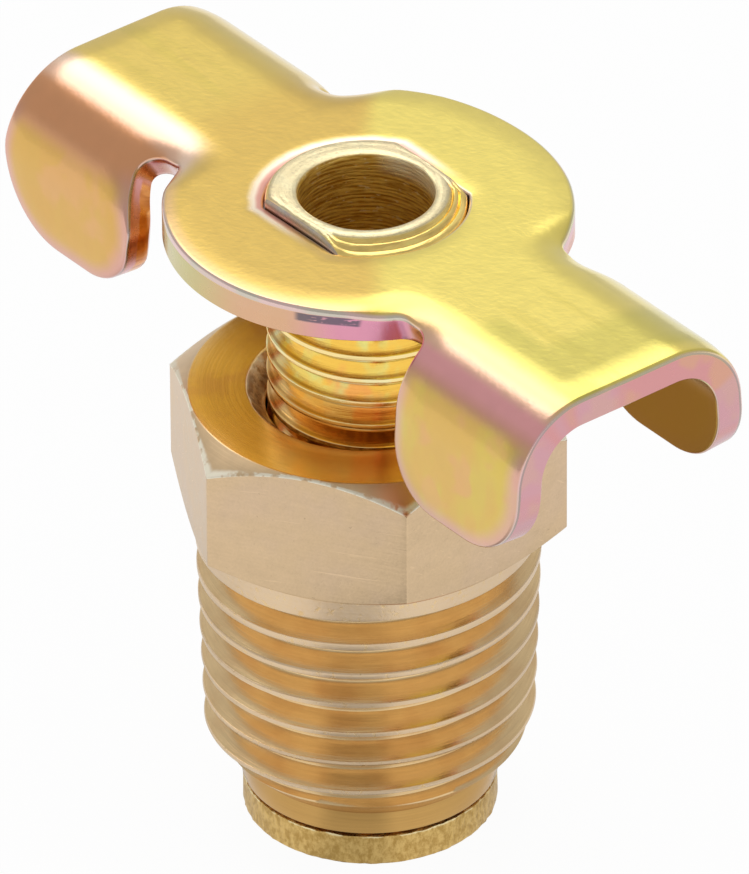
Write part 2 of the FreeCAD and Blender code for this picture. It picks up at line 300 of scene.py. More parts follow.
def thread_phases(pitch, crest_flat):
    """Rows of one turn, from crest middle to crest middle, close together at the edges."""
    edge = crest_flat / 2 / pitch
    flank = [edge + (0.5 - edge) * t for t in (0.10, 0.22, 0.36, 0.5, 0.64, 0.78, 0.88, 0.94)]
    side = [0.0, edge * 0.55, edge * 0.85, edge * 0.97, edge + 0.012, edge + 0.03] + flank
    side = sorted(set(round(p, 6) for p in side))
    return side + [0.5] + [1 - p for p in reversed(side)]


def eased(value):
    """0 below 0, 1 above 1, smooth between."""
    value = min(1.0, max(0.0, value))
    return value * value * (3 - 2 * value)


def soft_above(value, softness):
    """value where it is above 0, and 0 below, with a rounded turn between them."""
    return (value + math.sqrt(value * value + softness * softness)) / 2


def soft_below(value, limit, softness):
    """value where it is below a limit, and the limit above, with a rounded turn between them."""
    return limit - soft_above(limit - value, softness)


def groove_cut(distance, crest_half, depth, climb):
    """Depth of a rounded sixty degree groove at a distance from the crest's middle."""
    crest_round, root_round = 0.02, 0.05
    reach = (distance - crest_half) / SLANT - climb
    return soft_below(soft_above(reach, crest_round), depth, root_round)


def set_smooth(bm):
    """Smooth faces, with a crease where two of them meet sharply."""
    for face in bm.faces:
        face.smooth = True
    for edge in bm.edges:
        edge.smooth = edge.calc_face_angle(0.0) < CREASE


def finished(bm, name, body, node, slot, *materials):
    """Turns the drawing in millimetres into a piece that rides on its body."""
    bmesh.ops.scale(bm, vec=(MM, MM, MM), verts=bm.verts)
    mesh = bpy.data.meshes.new(name)
    bm.to_mesh(mesh)
    bm.free()
    for material in materials:
        mesh.materials.append(material)
    piece = bpy.data.objects.new(name, mesh)
    bpy.context.scene.collection.objects.link(piece)
    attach(piece, body)
    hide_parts(node)
    return piece


# Shader maths

class Value:
    """A shader socket that takes part in Python expressions."""

    def __init__(self, graph, socket):
        self.graph = graph
        self.socket = socket

    def __add__(self, other):
        return self.graph.math("ADD", self, other)

    def __sub__(self, other):
        return self.graph.math("SUBTRACT", self, other)

    def __rsub__(self, other):
        return self.graph.math("SUBTRACT", other, self)

    def __mul__(self, other):
        return self.graph.math("MULTIPLY", self, other)

    def __truediv__(self, other):
        return self.graph.math("DIVIDE", self, other)

    __radd__ = __add__
    __rmul__ = __mul__


class Graph:
    """The nodes of one material."""

    def __init__(self, owner):
        self.material = bpy.data.materials.new(owner) if isinstance(owner, str) else owner
        self.material.use_nodes = True
        self.tree = self.material.node_tree
        self.tree.nodes.clear()

    def plug(self, socket, value):
        """Links a value to a socket, or sets the socket to it."""
        if isinstance(value, Value):
            self.tree.links.new(value.socket, socket)
        else:
            socket.default_value = value

    def node(self, kind, settings=None, values=None, output=0):
        """A node with its settings, then its sockets' values or links, given by name or number."""
        made = self.tree.nodes.new(kind)
        for name, setting in (settings or {}).items():
            setattr(made, name, setting)
        for key, value in (values or {}).items():
            self.plug(made.inputs[key], value)
        return Value(self, made.outputs[output])

    def math(self, operation, *values):
        return self.node("ShaderNodeMath", {"operation": operation}, dict(enumerate(values)))

    def vector_math(self, operation, *values, output=0):
        return self.node("ShaderNodeVectorMath", {"operation": operation}, dict(enumerate(values)), output)

    def place(self):
        """Object coordinates in millimetres: the vector and its three parts."""
        here = self.node("ShaderNodeTexCoord", output="Object")
        spot = self.vector_math("MULTIPLY", here, (1 / MM, 1 / MM, 1 / MM))
        return (spot, *self.parts(spot))

    def parts(self, vector):
        """The three numbers of a vector."""
        split = self.node("ShaderNodeSeparateXYZ", values={0: vector})
        outputs = split.socket.node.outputs
        return [Value(self, outputs[i]) for i in range(3)]

    def vector(self, x, y, z):
        return self.node("ShaderNodeCombineXYZ", values={0: x, 1: y, 2: z})

    def noise(self, vector, scale, detail, roughness):
        return self.node("ShaderNodeTexNoise", {"noise_dimensions": "3D"}, {
            "Vector": vector, "Scale": scale, "Detail": detail, "Roughness": roughness})

    def rise(self, value, low, high):
        """0 below low, 1 above high, smooth between."""
        return self.node("ShaderNodeMapRange", {"interpolation_type": "SMOOTHSTEP"}, {
            "Value": value, "From Min": low, "From Max": high, "To Min": 0.0, "To Max": 1.0})

    def band(self, value, low, high, soft):
        """1 between low and high, fading to 0 over soft on both sides."""
        return self.rise(value, low - soft, low) * (1 - self.rise(value, high, high + soft))

    def mix(self, factor, first, second, blend="MIX"):
        """A colour between two others."""
        def tint(value):
            return (*value, 1.0) if isinstance(value, tuple) and len(value) == 3 else value
        return self.node("ShaderNodeMix", {"data_type": "RGBA", "blend_type": blend}, {
            0: factor, 6: tint(first), 7: tint(second)}, 2)

    def attribute(self, name):
        return self.node("ShaderNodeAttribute", {"attribute_name": name}, output="Fac")

    def bump(self, height, distance):
        """A normal tilted by a height, whose unit is a distance in millimetres."""
        return self.node("ShaderNodeBump", values={"Height": height, "Distance": distance * MM, "Strength": 1.0})

    def finish(self, **sockets):
        """The material, with a Principled shader that has these sockets' values."""
        names = {name.replace(" ", "_").lower(): name for name in (
            "Base Color", "Roughness", "Metallic", "Coat Weight", "Coat Roughness", "Coat IOR", "Normal",
            "Anisotropic", "Anisotropic Rotation")}
        shader = self.node("ShaderNodeBsdfPrincipled", values={names[k]: v for k, v in sockets.items()})
        self.show(shader)
        return self.material

    def show(self, shader, output="ShaderNodeOutputMaterial"):
        """Links a shader to the material's or the world's output."""
        self.tree.links.new(shader.socket, self.tree.nodes.new(output).inputs["Surface"])


def shaded(g, tint, shade):
    """A colour made lighter or darker by a factor that varies."""
    return g.mix(1.0, tint, g.vector(shade, shade, shade), "MULTIPLY")


def toward_side(g, x, y, radius, side):
    """Cosine of the angle round the axis between a point and a side, given as a unit vector."""
    return g.vector_math("DOT_PRODUCT", g.vector(x, y, 0.0), (*side, 0.0), output="Value") / radius


def turned_brass(context):
    """Bright turned brass: tool rings, worn pale crests, a torn mouth, a burred edge on the hexagon painted near
    white as a painted highlight, painted light and a painted radial highlight on the top face, and painted shade on
    the top chamfer.
    """
    finish, sizes = context.scene.petcock_finish, in_millimetres(context.scene.petcock_body)
    g = Graph("turned_brass")
    spot, x, y, z = g.place()
    radius = g.math("SQRT", x * x + y * y)
    rings = g.noise(g.vector(x * 0.15 + radius * 6.0, y * 0.15, z * 7.0), 1.0, 4.0, 0.6)
    lines = g.noise(g.vector(x * 0.35 + radius * 22.0, y * 0.35, z * 24.0), 1.0, 2.0, 0.6)
    grain = g.noise(spot, 6.0, 4.0, 0.6)
    blotch = g.noise(spot, 0.5, 3.0, 0.55)
    below = (sizes.pipe_radius - (sizes.hex_foot - z) * (1 / 32)) - radius
    in_thread = 1 - g.rise(z, sizes.hex_foot - 0.1, sizes.hex_foot + 0.05)
    crest = (1 - g.rise(below + (grain - 0.5) * 0.06, 0.02, 0.07)) * in_thread
    above = 1 - in_thread
    chamfer = above * g.rise(radius, sizes.hex_land - 0.05, sizes.hex_land + 0.05)
    in_mouth = 1 - g.rise(radius, sizes.mouth_radius - 0.12, sizes.mouth_radius + 0.04)
    mouth = g.rise(z, 18.55, 18.75) * in_mouth * g.rise(radius, sizes.guide_radius + 0.05, sizes.guide_radius + 0.2)
    mottle = g.noise(spot, 2.4, 3.0, 0.6)
    # The burred edge along the flats' upper edges is painted near white: a real burr with a painted highlight on
    # it.
    burr_glint = g.rise(g.attribute("burr_glint"), 0.35, 0.8) * g.rise(g.noise(spot, 1.4, 3.0, 0.6), 0.36, 0.5)
    top = g.rise(z, sizes.hex_top - 0.06, sizes.hex_top - 0.02) * (1 - chamfer)
    nose = 1 - g.rise(z, sizes.pipe_foot + 0.1, sizes.pipe_foot + 0.3)
    skirt = above * (1 - g.rise(z, sizes.hex_foot + 0.3, sizes.hex_foot + 0.5))
    tint = g.mix(g.rise(blotch, 0.38, 0.72) * 0.5, tuple(finish.turned), (0.74, 0.46, 0.22))
    shade = 0.80 + rings * 0.22 + (lines - 0.5) * 0.22 + (grain - 0.5) * 0.06
    # Painted highlight: an orange radial streak painted on the front of the top face.
    painted_radial_highlight = g.rise(toward_side(g, x, y, radius, (0.669, -0.743)), 0.93, 0.995)
    # Painted light: the top face's front gets more of the bright ground colour, as if it were lit more.
    painted_light_front = g.rise(x - y, 0.0, 7.0)
    tint = g.mix(top * (0.4 + painted_light_front * 0.5), tint, tuple(finish.ground))
    tint = g.mix(top * painted_radial_highlight * 0.8, tint, (1.0, 0.60, 0.22))
    tint = g.mix(top * g.rise(blotch, 0.48, 0.62) * (1 - painted_light_front) * 0.5, tint, (0.80, 0.50, 0.36))
    tint = g.mix(nose * 0.9, tint, (0.63, 0.36, 0.10))
    # Painted light: the whole top face is made 8 % lighter.
    tint = shaded(g, tint, shade + top * 0.08)
    crest = crest * g.rise(mottle + (grain - 0.5) * 0.5, 0.26, 0.44)
    tint = g.mix(crest * (0.70 + (grain - 0.5) * 0.9), tint, tuple(finish.crest))
    tint = g.mix(chamfer * 0.85, tint, shaded(g, tuple(finish.milled), 0.78 + blotch * 0.26 + (mottle - 0.5) * 0.2))
    # Painted shade: a darker red patch painted on the top chamfer, to the right of the front.
    chamfer_painted_shade = g.rise(toward_side(g, x, y, radius, (0.927, -0.375)), 0.93, 0.99)
    tint = g.mix(chamfer * chamfer_painted_shade * 0.7, tint, (0.66, 0.34, 0.17))
    tint = g.mix(skirt * 0.6, tint, shaded(g, (0.66, 0.47, 0.27), 0.8 + mottle * 0.4))
    torn = g.mix(g.rise(mottle, 0.40, 0.60), (0.34, 0.18, 0.06), (0.80, 0.60, 0.34))
    tint = g.mix(mouth * 0.8, tint, torn)
    tint = g.mix(burr_glint, tint, (1.0, 0.94, 0.78))
    satin = g.math("MAXIMUM", g.math("MAXIMUM", crest, chamfer), mouth)
    rough = 0.19 + satin * 0.13 + (grain - 0.5) * 0.06 + above * 0.03 + burr_glint * 0.2
    height = rings * 0.5 + lines * 0.35 + grain * (0.14 + mouth * 1.0 + crest * 0.8)
    return g.finish(
        base_color=tint, metallic=1.0, roughness=rough, normal=g.bump(height, 0.010), anisotropic=0.45,
        anisotropic_rotation=0.25)


def milled_brass(context):
    """Satin flats of the hexagon: soft mottling, faint cutter lines, fine scratches and nicks."""
    finish = context.scene.petcock_finish
    g = Graph("milled_brass")
    spot, x, y, z = g.place()
    blotch = g.noise(spot, 0.35, 3.0, 0.5)
    mottle = g.noise(spot, 1.6, 4.0, 0.6)
    across = x * 0.6 - y * 0.8
    lines = g.noise(g.vector(across * 0.5, x * 0.5, z * 9.0), 1.0, 3.0, 0.55)
    slant = g.noise(g.vector((across + z) * 5.0, (across - z) * 0.7, x * 0.4), 1.0, 3.0, 0.6)
    nicks = g.rise(g.noise(spot, 3.4, 3.0, 0.65), 0.68, 0.75)
    grit = g.noise(spot, 9.0, 3.0, 0.6)
    scores = g.noise(g.vector(across * 0.9 + z * 1.3, z * 7.0 - across * 6.0, x * 0.3), 1.0, 2.0, 0.5)
    scratch = g.rise(scores, 0.66, 0.74)
    shade = 0.93 + (blotch - 0.5) * 0.22 + (mottle - 0.5) * 0.20 + (lines - 0.5) * 0.08 + (slant - 0.5) * 0.10 + \
        (grit - 0.5) * 0.22 + scratch * 0.12
    tint = g.mix(g.rise(blotch, 0.4, 0.65) * 0.5, tuple(finish.milled), (0.68, 0.50, 0.35))
    tint = g.mix(nicks * 0.4, shaded(g, tint, shade), (0.36, 0.25, 0.15))
    rough = 0.32 + (mottle - 0.5) * 0.16 + (slant - 0.5) * 0.08 + (grit - 0.5) * 0.12
    height = lines * 0.4 + slant * 0.4 + mottle * 0.9 + grit * 0.5 - nicks * 0.4 - scratch * 0.3
    return g.finish(base_color=tint, metallic=1.0, roughness=rough, normal=g.bump(height, 0.012))


def stem_brass(context):
    """Bright yellow screw: worn crests, drifting rose and green, tooled bore, pale rough end; painted shade under
    the crests and on the end's flats, painted highlights on the bore's lip and the disc's top edge.
    """
    finish, sizes = context.scene.petcock_finish, in_millimetres(context.scene.petcock_stem)
    g = Graph("stem_brass")
    spot, x, y, z = g.place()
    radius = g.math("SQRT", x * x + y * y)
    rings = g.noise(g.vector(x * 0.3 + radius * 8.0, y * 0.3, z * 8.0), 1.0, 4.0, 0.6)
    grain = g.noise(spot, 7.0, 4.0, 0.65)
    drift = g.noise(spot, 0.55, 2.0, 0.5)
    second = g.noise(g.vector(x + 9.0, y, z), 0.8, 2.0, 0.5)
    shade = 1.0 + (rings - 0.5) * 0.26 + (grain - 0.5) * 0.10
    low = 1 - g.rise(z, 19.9, 21.8)
    tint = g.mix(g.rise(drift, 0.52, 0.62) * 0.55, tuple(finish.screw), (1.0, 0.60, 0.36))
    tint = g.mix(g.rise(second, 0.52, 0.62) * 0.6, tint, (0.86, 0.92, 0.58))
    tint = g.mix(low * 0.75, tint, (0.80, 0.42, 0.12))
    tint = shaded(g, tint, shade)
    below = sizes.stem_radius - radius
    threaded = g.rise(z, 17.6, 18.0) * (1 - g.rise(z, 26.2, 26.4))
    # Painted shade: a dark line painted just below each crest of the stem's thread.
    line = (1 - g.rise(below, 0.13, 0.20)) * g.rise(below, 0.05, 0.08) * threaded
    crest = (1 - g.rise(below + (grain - 0.5) * 0.04, 0.01, 0.035)) * threaded
    tint = g.mix(line * 0.6, tint, (0.42, 0.22, 0.05))
    tint = g.mix(crest * 0.4, tint, (1.0, 0.80, 0.40))
    end = g.rise(z, sizes.stem_top - 0.13, sizes.stem_top - 0.05) * g.rise(radius, 2.6, 2.74)
    specks = g.rise(g.noise(spot, 5.5, 3.0, 0.7), 0.58, 0.66)
    scraped = g.noise(g.vector(x * 0.6 + radius * 5.0, y * 0.6, z), 1.0, 3.0, 0.65)
    pale = shaded(g, tuple(finish.screw_top), 0.76 + (grain - 0.5) * 0.6 + scraped * 0.5)
    pale = g.mix(specks * 0.5, pale, (0.42, 0.34, 0.22))
    tint = g.mix(end * 0.9, tint, pale)
    ledge = g.rise(z, sizes.stem_top - 0.75, sizes.stem_top - 0.65) * g.rise(x, 1.0, 2.0) * \
        g.rise(radius, 2.8, 2.9) * (1 - end)
    tint = g.mix(ledge * 0.95, tint, shaded(g, (1.0, 0.72, 0.22), 0.35 + scraped * 1.2))
    # Painted shade: the end's flats, in the gap inside the wing's hole, are painted dark grey lilac.
    flat_painted_shade = g.rise(g.math("ABSOLUTE", y), sizes.flats_half - 0.10, sizes.flats_half - 0.06) * \
        g.rise(z, sizes.wing_foot, sizes.wing_foot + 0.3)
    tint = g.mix(flat_painted_shade * (0.75 + (grain - 0.5)), tint, (0.36, 0.33, 0.37))
    bore = (1 - g.rise(radius, sizes.bore_radius + 0.02, sizes.bore_radius + 0.12)) * \
        g.rise(radius, sizes.drill_radius - 0.1, sizes.drill_radius) * g.rise(z, 13.0, 13.5)
    wander = g.noise(g.vector(x * 0.5, y * 0.5, z * 1.5), 1.0, 3.0, 0.6)
    cuts = g.math("SINE", z * 36.0 + wander * 12.0 + (x + y) * 0.5) * 0.5 + 0.5
    tooling = cuts * 0.12 + g.noise(g.vector(x * 0.9, y * 0.9, z * 10.0), 1.0, 4.0, 0.7) * 0.88
    tooled = g.mix(g.rise(tooling, 0.36, 0.64), (0.50, 0.24, 0.02), (1.0, 0.70, 0.15))
    flecks = g.rise(g.noise(g.vector(x * 2.2, y * 2.2, z * 6.0), 1.0, 3.0, 0.6), 0.60, 0.68)
    tooled = g.mix(flecks * 0.6, tooled, (1.0, 0.84, 0.44))
    tint = g.mix(bore, tint, tooled)
    # Painted highlight: a pale crescent painted on the bore's lip at the back.
    painted_lip_highlight = bore * g.rise(z, 27.35, 27.9) * g.rise(y + x * 0.3, 1.2, 2.2)
    tint = g.mix(painted_lip_highlight * 0.8, tint, shaded(g, (1.0, 0.90, 0.62), 0.6 + tooling))
    disc = 1 - g.rise(z, sizes.disc_height - 0.05, sizes.disc_height + 0.05)
    chips = g.noise(g.vector(x * 4.5, y * 4.5, z * 3.0), 1.0, 4.0, 0.65)
    tint = g.mix(disc * 0.9, tint, g.mix(g.rise(chips, 0.34, 0.66), (0.48, 0.30, 0.08), (0.76, 0.53, 0.19)))
    # Painted highlight: pale patches painted along the valve disc's top edge.
    painted_disc_highlight = disc * g.rise(z + (chips - 0.5) * 0.1, 1.26, 1.34) * g.rise(g.noise(spot, 2.0, 2.0, 0.5), 0.42, 0.54)
    tint = g.mix(painted_disc_highlight, tint, (1.0, 0.86, 0.50))
    rough = 0.14 + (grain - 0.5) * 0.08 + end * 0.22 + bore * 0.20 + disc * 0.24 + flat_painted_shade * 0.2 + \
        ledge * 0.06 - painted_lip_highlight * 0.16
    height = rings * (1 - bore) * 0.6 + grain * (0.2 + end * 0.9 + disc * 1.2) + tooling * bore * 3.5 + \
        chips * disc * 4.0 + scraped * (end + ledge) * 1.5
    return g.finish(
        base_color=tint, metallic=1 - bore * 0.45, roughness=rough, normal=g.bump(height, 0.012))


def yellow_chromate(context):
    """Yellow chromate on steel: tan drifts, pink cut edges, torn foot of the cut; painted highlights and rose and
    umber painted reflection bands on the near bends, painted shade beside them, on the cut faces and inside the
    ears.
    """
    finish = context.scene.petcock_finish
    g = Graph("yellow_chromate")
    spot, x, y, z = g.place()
    along, across, rim, depth, turn = (
        g.attribute(name) for name in ("along", "across", "rim", "depth", "turn"))
    drift = g.noise(spot, 0.16, 2.0, 0.5)
    small = g.noise(spot, 1.5, 3.0, 0.5)
    cloud = g.noise(g.vector(x + 20.0, y, z), 0.5, 2.0, 0.5)
    aside = across * 0.783 + along * 0.622          # between the short arm and the far side
    long_arm = 1 - g.rise(along, -3.0, 3.0)
    tan_half = (1 - g.rise(aside + (drift - 0.5) * 2.5, -0.5, 0.7)) * (0.6 + 0.4 * g.rise(along, -10.5, -7.0))
    tint = g.mix(tan_half, tuple(finish.chromate), tuple(finish.tan))
    stripes = g.noise(g.vector(along * 0.05, across * 0.8, 0.0), 1.0, 2.0, 0.5)
    formed = g.rise(g.math("ABSOLUTE", along), 8.0, 10.5)
    tint = g.mix(g.rise(stripes, 0.5, 0.62) * formed * 0.35, tint, (0.66, 0.52, 0.08))
    # Painted shade: darker olive bands beside the short arm's near bend and inside its end, next to the highlights.
    beside_bend = g.band(across, -2.5, -1.5, 0.6) * g.rise(along, 9.0, 10.5)
    beside_end = g.band(rim, 0.9, 2.2, 0.6) * g.rise(along, 12.0, 13.0)
    olive_painted_shade = g.math("MAXIMUM", beside_bend, beside_end)
    tint = g.mix(olive_painted_shade * 0.5, tint, (0.50, 0.46, 0.08))
    # Painted light, on the near side only: by how far the sheet has turned, a pale painted highlight where the bend
    # starts, then peach, then a rose band (umber on the long arm) that stands in for a darker reflection.
    near = 1 - g.rise(across, -0.5, 0.5)
    rising = turn + long_arm * 0.055 + (small - 0.5) * 0.03
    falling = turn - long_arm * 0.07
    pale = g.mix(long_arm, tuple(finish.pale), (0.84, 0.60, 0.44))
    tint = g.mix(g.rise(rising, 0.06, 0.20) * near, tint, pale)
    tint = g.mix(g.rise(rising, 0.22, 0.33) * near, tint, tuple(finish.peach))
    streaks = g.noise(g.vector(along * 0.55, across * 0.22, 5.0), 1.0, 3.0, 0.5)
    ear = g.mix(g.rise(streaks, 0.42, 0.60) * (1 - long_arm * 0.6), tuple(finish.lobe), (0.74, 0.54, 0.11))
    ear = g.mix(long_arm * 0.5, ear, (0.74, 0.39, 0.10))
    ear = g.mix(g.rise(cloud, 0.52, 0.64) * 0.6, ear, (0.80, 0.43, 0.18))
    rose_reflection_band = g.mix(long_arm, tuple(finish.rose), tuple(finish.umber))
    rose_reflection_band = g.mix(g.rise(falling, 0.48, 0.62) * 0.6, rose_reflection_band, (0.70, 0.36, 0.18))
    tint = g.mix(g.rise(rising, 0.33, 0.43) * near, tint, rose_reflection_band)
    tint = g.mix(g.rise(falling, 0.56, 0.70), tint, ear)
    # Painted highlight: the rolled near edge is painted pale where it catches the light.
    painted_edge_highlight = (1 - g.rise(rim, 0.2, 0.75)) * (1 - g.rise(turn, 0.0, 0.08)) * g.rise(y * -1.0, 3.0, 5.0)
    tint = g.mix(painted_edge_highlight * 0.8, tint, tuple(finish.pale))
    near_cut = (1 - g.rise(rim, 0.1, 0.9)) * g.rise(turn, 0.5, 0.85)
    tint = g.mix(near_cut * 0.6, tint, (0.76, 0.40, 0.46))
    tint = shaded(g, tint, 0.97 + (small - 0.5) * 0.08)
    cut_face = g.rise(depth, 0.215, 0.255) * (1 - g.rise(depth, 0.985, 0.998)) * (1 - g.rise(rim, 0.001, 0.012))
    on_disc = 1 - g.rise(g.math("SQRT", along * along + across * across), 7.9, 8.3)
    lilac = (1 - g.rise(rim, 0.02, 0.07 + on_disc * 0.10)) * (1 - cut_face)
    grey_lilac = g.mix(g.rise(cloud, 0.4, 0.6), (0.60, 0.62, 0.60), (0.80, 0.60, 0.66))
    tint = g.mix(lilac * (0.45 + on_disc * 0.3), tint, grey_lilac)
    pink = g.mix(g.rise(cloud, 0.48, 0.62) * 0.6, tuple(finish.edge), (0.72, 0.40, 0.22))
    pink = g.mix(g.rise(streaks, 0.52, 0.62) * 0.4, pink, (0.62, 0.40, 0.50))
    rim_left = g.mix(g.rise(aside, -7.2, -4.6), (0.60, 0.55, 0.22), (0.76, 0.46, 0.27))
    rim_tint = g.mix(g.rise(aside, -3.4, -0.8), rim_left, (0.82, 0.34, 0.48))
    pink = g.mix(on_disc, pink, rim_tint)
    by_relief = (1 - g.rise(g.math("ABSOLUTE", along), 8.9, 9.3)) * g.rise(g.math("ABSOLUTE", across), 4.8, 5.4)
    fracture = g.rise(depth + (small - 0.5) * 0.2, 0.50, 0.60) * by_relief * (1 - on_disc)
    striae = g.noise(g.vector(along * 3.0, across * 2.2, depth * 0.8), 1.0, 2.0, 0.5)
    pink = g.mix(fracture, pink, g.mix(g.rise(striae, 0.4, 0.6), tuple(finish.torn), (0.84, 0.34, 0.08)))
    tint = g.mix(cut_face, tint, pink)
    # Painted shade: a dark line painted along the top of the cut faces, just below the roll-over.
    line = g.band(depth + (small - 0.5) * 0.02, 0.185, 0.225, 0.025) * (1 - on_disc) * (1 - g.rise(rim, 0.03, 0.08))
    tint = g.mix(line * 0.65, tint, (0.24, 0.21, 0.20))
    # The burnished roll of the hole's edge at the back is painted pink and pale where it catches the light: a real
    # burnished edge with a painted highlight.
    by_hole = 1 - g.rise(g.math("SQRT", along * along + across * across), 4.9, 5.2)
    burnished_hole_highlight = by_hole * (1 - g.rise(rim + (small - 0.5) * 0.2, 0.35, 0.75)) * g.rise(along * -1.0, -1.5, 1.5)
    rolled_tint = g.mix(g.rise(rim + (small - 0.5) * 0.1, 0.20, 0.40), (0.78, 0.38, 0.30), (0.92, 0.78, 0.60))
    tint = g.mix(burnished_hole_highlight, tint, rolled_tint)
    scuffed = g.rise(x * 0.661 - y * 0.750, 7.80, 7.85) * g.rise(depth, 0.22, 0.26) * \
        (1 - g.rise(depth, 0.46, 0.52)) * on_disc
    scuff_lines = g.noise(g.vector(x * 1.2 + y * 1.2, z * 8.0, 0.0), 1.0, 3.0, 0.6)
    scuffed = scuffed * g.rise(scuff_lines, 0.34, 0.46)
    tint = g.mix(scuffed * 0.85, tint, (0.10, 0.11, 0.15))
    # Painted shade: the inner faces of the bent ears are painted dark brown olive.
    inner = g.rise(depth, 0.985, 0.998)
    tint = g.mix(inner * g.rise(turn, 0.2, 0.6) * 0.95, tint, tuple(finish.inside))
    rough = 0.20 + (small - 0.5) * 0.06 + cut_face * 0.08 + scuffed * 0.15 + burnished_hole_highlight * 0.12
    height = g.noise(spot, 4.0, 3.0, 0.5) + striae * cut_face * 2.0
    return g.finish(
        base_color=tint, metallic=1.0, roughness=rough, normal=g.bump(height, 0.004), coat_weight=0.5 - inner * 0.4,
        coat_roughness=0.10, coat_ior=1.55)


def seal_rubber(context):
    """Matt black rubber."""
    finish = context.scene.petcock_finish
    g = Graph("seal_rubber")
    spot, *_ = g.place()
    grain = g.noise(spot, 6.0, 3.0, 0.6)
    base = tuple(finish.rubber)
    tint = g.mix(grain, base, tuple(min(1.0, c * 1.6) for c in base))
    return g.finish(base_color=tint, roughness=0.55 + grain * 0.15, normal=g.bump(grain, 0.01))


# Body

def hexagon_radius(sizes, azimuth):
    """Distance from the axis to the hexagon's side at an azimuth."""
    sector = math.radians(60)
    turned = (azimuth - sizes.hex_turn) % sector
    off = min(turned, sector - turned)
    return sizes.hex_flats / 2 / math.cos(off)


def pipe_radius(sizes, azimuth, height):
    """Radius of the threaded shank: taper, groove, run-out and lead chamfer."""
    crest = sizes.pipe_radius - (sizes.hex_foot - height) / 32
    climb_at = (height - sizes.runout_height) / sizes.pipe_pitch - (azimuth - sizes.runout_azimuth) / (2 * math.pi)
    turn = round(climb_at)
    off_groove = abs(climb_at - turn) * sizes.pipe_pitch
    progress = turn + (azimuth - sizes.runout_azimuth) / (2 * math.pi)
    fade = max(0.0, 1 + progress * 2 * math.pi / sizes.runout_sweep)
    wear = max(0.0, min(1.0, (sizes.hex_foot - height) / (sizes.hex_foot - sizes.pipe_foot) * 1.6))
    crest_half = (sizes.crest_flat + (sizes.crest_foot - sizes.crest_flat) * wear) / 2
    cut = groove_cut(sizes.pipe_pitch / 2 - off_groove, crest_half, sizes.groove_depth, fade * 1.1)
    lead = sizes.nose_radius + height - sizes.pipe_foot
    return soft_below(crest - cut, lead, 0.03)


